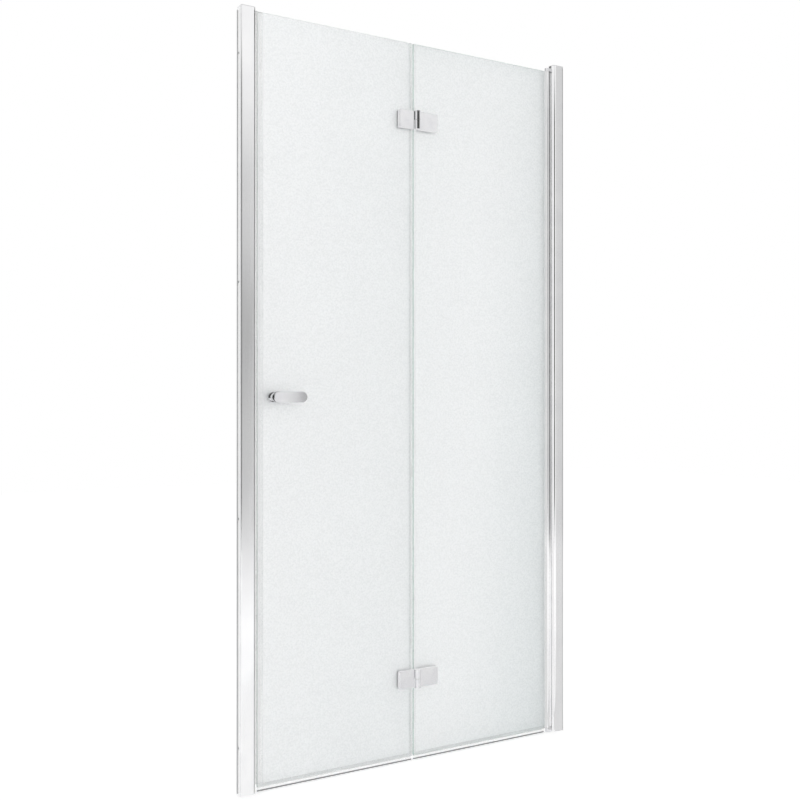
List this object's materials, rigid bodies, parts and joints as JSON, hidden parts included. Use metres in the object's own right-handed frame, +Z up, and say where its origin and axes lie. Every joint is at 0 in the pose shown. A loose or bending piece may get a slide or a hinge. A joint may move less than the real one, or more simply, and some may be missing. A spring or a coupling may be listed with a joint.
{
  "type": "shower door",
  "caption": "Frameless pivot-fold shower door for a niche: frosted glass leaves in bright wall profiles, glass hinges on the outside, pulls on both faces, magnetic closing edge.",
  "frame": {"origin": "on the shower tray, midway between the niche walls, in the middle plane of the closed glass", "axes": "+X from the strike wall to the hinge wall as seen from outside, +Y into the shower, +Z up"},
  "size_m": [1, 0.084, 1.92],
  "materials": {
    "bright_aluminium": "bright anodised with a chrome look",
    "channel_aluminium": "mill finish",
    "chrome_plate": "polished chrome on a zinc casting",
    "frosted_glass": "toughened safety glass, satin on one face",
    "clear_vinyl": "clear soft vinyl",
    "magnet": "white plastic-bonded magnet strip",
    "cap_plastic": "light grey moulded cap",
    "bright_strip": "plastic strip with a chrome look",
    "nylon": "natural nylon",
    "gasket_rubber": "pale translucent gasket",
    "stainless_steel": "stainless steel"
  },
  "bodies": {
    "frame": {"strike_wall_channel": "channel_aluminium", "strike_profile": "bright_aluminium", "strike_magnet_carrier": "clear_vinyl", "strike_magnet_bar": "magnet", "strike_top_cap": "cap_plastic", "strike_fixing_screws": "stainless_steel", "strike_screw_covers": "cap_plastic", "hinge_wall_channel": "channel_aluminium", "hinge_post": "bright_aluminium", "hinge_post_cap": "cap_plastic", "hinge_fixing_screws": "stainless_steel", "hinge_screw_covers": "cap_plastic", "pivot_seal": "bright_strip", "top_bearing": "chrome_plate", "bottom_bearing": "chrome_plate", "top_pivot_pin": "stainless_steel", "bottom_pivot_pin": "stainless_steel", "pivot_set_screws": "stainless_steel"},
    "hinged_panel": {"hinged_glass": "frosted_glass", "pivot_profile": "bright_aluminium", "glazing_gasket": "gasket_rubber", "pivot_bushes": "nylon", "hinged_bottom_seal": "clear_vinyl", "upper_hinge_fixed_leaf": "chrome_plate", "lower_hinge_fixed_leaf": "chrome_plate", "upper_hinge_fixed_plate": "chrome_plate", "lower_hinge_fixed_plate": "chrome_plate", "hinged_leaf_gaskets": "gasket_rubber", "hinged_leaf_sleeves": "nylon", "hinged_leaf_screws": "stainless_steel", "hinge_pins": "stainless_steel", "hinge_washers": "nylon"},
    "folding_panel": {"folding_glass": "frosted_glass", "folding_bottom_seal": "clear_vinyl", "fold_seal": "clear_vinyl", "leading_edge_seal": "clear_vinyl", "leading_magnet_bar": "magnet", "upper_hinge_moving_leaf": "chrome_plate", "lower_hinge_moving_leaf": "chrome_plate", "upper_hinge_moving_plate": "chrome_plate", "lower_hinge_moving_plate": "chrome_plate", "folding_leaf_gaskets": "gasket_rubber", "folding_leaf_sleeves": "nylon", "folding_leaf_screws": "stainless_steel", "hinge_bushes": "nylon", "outer_handle": "chrome_plate", "inner_handle": "chrome_plate", "handle_stud": "stainless_steel", "handle_sleeve": "nylon", "handle_washers": "gasket_rubber", "handle_set_screws": "stainless_steel"}
  },
  "joints": [
    {"name": "pivot_swing", "type": "hinge", "parent": "frame", "child": "hinged_panel", "pos_m": [0.451, 0, 0.9565], "axis": [0, 0, -1], "range_deg": [0, 90]},
    {"name": "fold_swing", "type": "hinge", "parent": "hinged_panel", "child": "folding_panel", "pos_m": [0, -0.016, 0.9565], "axis": [0, 0, 1], "range_deg": [0, 170]}
  ]
}
